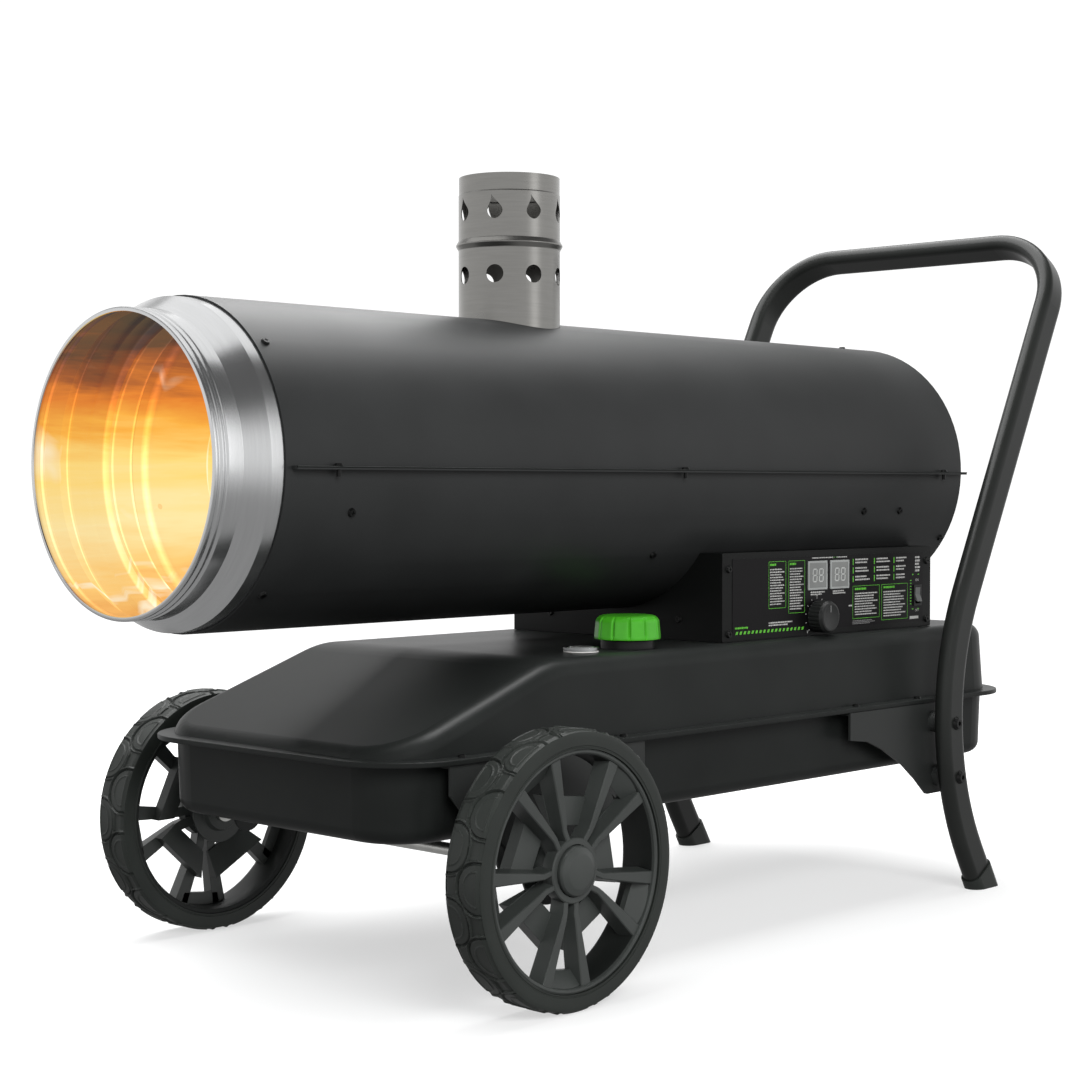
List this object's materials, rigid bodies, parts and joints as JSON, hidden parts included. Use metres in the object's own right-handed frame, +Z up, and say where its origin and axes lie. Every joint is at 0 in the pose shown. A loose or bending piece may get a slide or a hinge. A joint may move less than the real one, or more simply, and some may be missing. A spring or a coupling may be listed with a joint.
{
  "type": "oil-fired air heater",
  "caption": "Oil-fired forced-air heater: two-part round casing with flue and outlet ring over a black tank, on two wheels and two legs with a push handle.",
  "frame": {"origin": "centre of the bounding box in plan, on the floor", "axes": "+X from the hot-air outlet towards the handle, +Y from the control panel side to the far side, +Z up"},
  "size_m": [1.2412, 0.554, 0.777],
  "materials": {
    "casing_black": "satin",
    "chassis_black": "satin",
    "stainless": "bright",
    "plated_steel": "satin",
    "heated_steel": "heat-tinted",
    "aluminium": "cast",
    "motor_paint": "satin",
    "fan_black": "matt",
    "rubber": "matt",
    "black_plastic": "satin",
    "green_plastic": "satin",
    "clear": "clear",
    "white_plastic": "gloss",
    "red_plastic": "gloss",
    "brass": "satin",
    "ceramic_white": "glazed",
    "board_green": "gloss",
    "window_dark": "gloss"
  },
  "bodies": {
    "chassis": {"casing_upper": "casing_black", "casing_lower": "casing_black", "casing_screws": "chassis_black", "outlet_ring": "stainless", "inner_duct": "stainless", "combustion_chamber": "heated_steel", "heat_exchanger": "heated_steel", "exchanger_brackets": "plated_steel", "flue_pipe": "stainless", "burner_tube": "plated_steel", "turbulator": "plated_steel", "nozzle": "brass", "electrodes": "ceramic_white", "motor": "motor_paint", "motor_bracket": "chassis_black", "fan_guard": "chassis_black", "fuel_pump": "aluminium", "fuel_line": "plated_steel", "fuel_filter": "red_plastic", "ignition_transformer": "black_plastic", "overheat_thermostat": "aluminium", "pedestal_housing": "chassis_black", "control_panel": "chassis_black", "panel_overlay": "black_plastic", "display_windows": "window_dark", "potentiometer": "plated_steel", "rocker_frame": "black_plastic", "circuit_board": "board_green", "panel_screws": "chassis_black", "cable_gland": "black_plastic", "tank_lid": "chassis_black", "tank_tub": "chassis_black", "flange_screws": "chassis_black", "filler_neck": "chassis_black", "filler_strainer": "plated_steel", "gauge_body": "white_plastic", "gauge_bezel": "black_plastic", "gauge_lens": "clear", "drain_plug": "plated_steel", "axle": "plated_steel", "axle_brackets": "chassis_black", "handle_frame": "chassis_black", "gusset_brackets": "chassis_black", "handle_bolts": "plated_steel", "foot_caps": "rubber"},
    "wheel_left": {"tyre_left": "rubber", "rim_left": "black_plastic", "hubcap_left": "black_plastic"},
    "wheel_right": {"tyre_right": "rubber", "rim_right": "black_plastic", "hubcap_right": "black_plastic"},
    "rotor": {"motor_shaft": "plated_steel", "fan": "fan_black", "pump_coupling": "black_plastic"},
    "knob": {"control_knob": "black_plastic"},
    "rocker": {"rocker_switch": "black_plastic"},
    "cap_carrier": {"cap_insert": "green_plastic"},
    "cap": {"filler_cap": "green_plastic"},
    "float": {"gauge_float": "black_plastic"},
    "needle": {"gauge_needle": "red_plastic"}
  },
  "joints": [
    {"name": "wheel_left_spin", "type": "hinge", "parent": "chassis", "child": "wheel_left", "pos_m": [-0.33128, -0.2535, 0.125], "axis": [0, 1, 0], "continuous": true},
    {"name": "wheel_right_spin", "type": "hinge", "parent": "chassis", "child": "wheel_right", "pos_m": [-0.33128, 0.2535, 0.125], "axis": [0, 1, 0], "continuous": true},
    {"name": "fan_spin", "type": "hinge", "parent": "chassis", "child": "rotor", "pos_m": [0.27742, 0, 0.481], "axis": [1, 0, 0], "continuous": true},
    {"name": "knob_turn", "type": "hinge", "parent": "chassis", "child": "knob", "pos_m": [0.18442, -0.16, 0.3207], "axis": [0, 1, 0], "range_deg": [-135, 135]},
    {"name": "rocker_tilt", "type": "hinge", "parent": "chassis", "child": "rocker", "pos_m": [0.37912, -0.148, 0.3367], "axis": [1, 0, 0], "range_deg": [0, 18]},
    {"name": "cap_lift", "type": "slide", "parent": "chassis", "child": "cap_carrier", "axis": [0, 0, 1], "range_m": [0, 0.009]},
    {"name": "cap_turn", "type": "hinge", "parent": "cap_carrier", "child": "cap", "pos_m": [-0.09558, -0.123, 0.32], "axis": [0, 0, 1], "range_deg": [0, 540]},
    {"name": "float_swing", "type": "hinge", "parent": "chassis", "child": "float", "pos_m": [-0.16558, -0.124, 0.264], "axis": [1, 0, 0], "range_deg": [-50, 9]},
    {"name": "needle_turn", "type": "hinge", "parent": "chassis", "child": "needle", "pos_m": [-0.16558, -0.124, 0.298], "axis": [0, 0, 1], "range_deg": [-126, 24]}
  ],
  "couplings": [
    {"joint": "cap_turn", "follows": "cap_lift", "rad_per_m": 1047.2},
    {"joint": "needle_turn", "follows": "float_swing", "ratio": 2.5}
  ]
}
